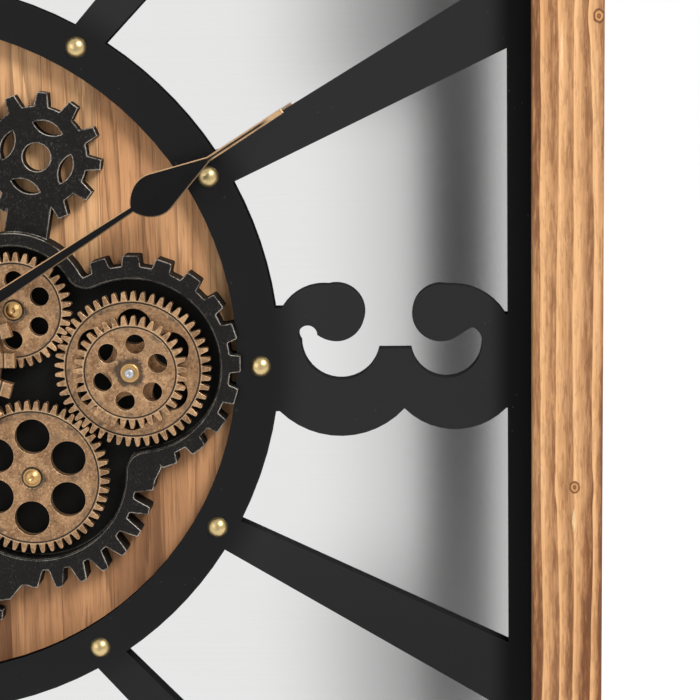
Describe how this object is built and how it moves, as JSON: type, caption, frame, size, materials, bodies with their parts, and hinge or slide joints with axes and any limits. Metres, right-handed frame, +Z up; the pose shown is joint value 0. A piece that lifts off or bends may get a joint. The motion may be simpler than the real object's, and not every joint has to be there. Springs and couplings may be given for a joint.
{
  "type": "wall clock",
  "caption": "portrait wall clock in a wood frame, with a cut-out black dial on a brushed silver sheet and an open train of bronze gears that turns on a planked wood disc",
  "frame": {"origin": "on the dial axis, in the plane of the wall that the back rests on", "axes": "X to the viewer's right, Y into the wall, Z up; the dial faces -Y"},
  "size_m": [0.6, 0.0689, 0.74],
  "materials": {
    "fir": "scorched and brushed fir, satin lacquer",
    "batten_wood": "planed softwood",
    "back_board": "smooth hardboard",
    "disc_wood": "planked board, oiled",
    "black_board": "satin black paint on cut fibreboard",
    "silver_sheet": "composite sheet, face brushed along X",
    "tray_resin": "charcoal moulding with silver rubbed edges",
    "bronze": "antique rose bronze",
    "brass": "polished",
    "black_hand": "black face with copper edges",
    "steel": "zinc plated",
    "case_plastic": "moulded black",
    "knob_plastic": "moulded black",
    "cell_jacket": "plain jacket",
    "lead_jacket": "flexible black"
  },
  "bodies": {
    "case": {"back_panel": "back_board", "back_screws": "steel", "batten_bottom": "batten_wood", "batten_left": "batten_wood", "batten_right": "batten_wood", "batten_top": "batten_wood", "battery_box": "case_plastic", "battery_cells": "cell_jacket", "battery_contacts": "steel", "brace_screws": "steel", "corner_braces": "steel", "dial_plate": "black_board", "dial_studs": "brass", "fixing_nut": "brass", "front_nut": "brass", "gear_tray": "tray_resin", "hanger_left": "steel", "hanger_right": "steel", "hanger_screws": "steel", "idler_pins": "brass", "motor_case": "case_plastic", "motor_cover": "case_plastic", "motor_lead": "lead_jacket", "movement_case": "case_plastic", "movement_cell": "cell_jacket", "movement_cover": "case_plastic", "movement_neck": "brass", "rail_bottom": "fir", "rail_left": "fir", "rail_right": "fir", "rail_top": "fir", "silver_panel": "silver_sheet", "tray_screws": "steel", "wood_disc": "disc_wood"},
    "right_train": {"gear_right_large": "bronze", "gear_right_small": "bronze", "gear_bush_right": "brass", "drive_shaft": "steel"},
    "left_train": {"gear_left_large": "bronze", "gear_left_small": "bronze", "gear_bush_left": "brass", "left_axle": "steel"},
    "upper_right": {"gear_upper_right": "bronze"},
    "upper_left": {"gear_upper_left": "bronze"},
    "lower_right": {"gear_lower_right": "bronze"},
    "lower_left": {"gear_lower_left": "bronze"},
    "centre_train": {"centre_wheel": "bronze", "centre_cog": "bronze", "centre_sleeve": "brass"},
    "minute": {"minute_hand": "black_hand", "minute_arbor": "brass", "hand_cap": "brass"},
    "hour": {"hour_hand": "black_hand", "hour_pipe": "brass"},
    "knob": {"set_knob": "knob_plastic"}
  },
  "joints": [
    {"name": "right_train_spin", "type": "hinge", "parent": "case", "child": "right_train", "pos_m": [0.09818, 0, -0.00602], "axis": [0, 1, 0], "continuous": true},
    {"name": "left_train_spin", "type": "hinge", "parent": "case", "child": "left_train", "pos_m": [-0.09818, 0, -0.00602], "axis": [0, 1, 0], "continuous": true},
    {"name": "upper_right_spin", "type": "hinge", "parent": "case", "child": "upper_right", "pos_m": [0.04715, 0, 0.02021], "axis": [0, 1, 0], "continuous": true},
    {"name": "upper_left_spin", "type": "hinge", "parent": "case", "child": "upper_left", "pos_m": [-0.04715, 0, 0.02021], "axis": [0, 1, 0], "continuous": true},
    {"name": "lower_right_spin", "type": "hinge", "parent": "case", "child": "lower_right", "pos_m": [0.05231, 0, -0.05368], "axis": [0, 1, 0], "continuous": true},
    {"name": "lower_left_spin", "type": "hinge", "parent": "case", "child": "lower_left", "pos_m": [-0.05231, 0, -0.05368], "axis": [0, 1, 0], "continuous": true},
    {"name": "centre_train_spin", "type": "hinge", "parent": "case", "child": "centre_train", "pos_m": [0, 0, 0], "axis": [0, 1, 0], "continuous": true},
    {"name": "minute_spin", "type": "hinge", "parent": "case", "child": "minute", "pos_m": [0, 0, 0], "axis": [0, 1, 0], "continuous": true},
    {"name": "hour_spin", "type": "hinge", "parent": "case", "child": "hour", "pos_m": [0, 0, 0], "axis": [0, 1, 0], "continuous": true},
    {"name": "knob_spin", "type": "hinge", "parent": "case", "child": "knob", "pos_m": [0.014, 0, 0.012], "axis": [0, 1, 0], "continuous": true}
  ],
  "couplings": [
    {"joint": "left_train_spin", "follows": "right_train_spin", "ratio": 1},
    {"joint": "upper_right_spin", "follows": "right_train_spin", "ratio": -1.3611},
    {"joint": "upper_left_spin", "follows": "right_train_spin", "ratio": -1.3611},
    {"joint": "lower_right_spin", "follows": "right_train_spin", "ratio": -1},
    {"joint": "lower_left_spin", "follows": "right_train_spin", "ratio": -1},
    {"joint": "centre_train_spin", "follows": "right_train_spin", "ratio": 1.225},
    {"joint": "hour_spin", "follows": "minute_spin", "ratio": 0.083333},
    {"joint": "knob_spin", "follows": "minute_spin", "ratio": -1}
  ]
}
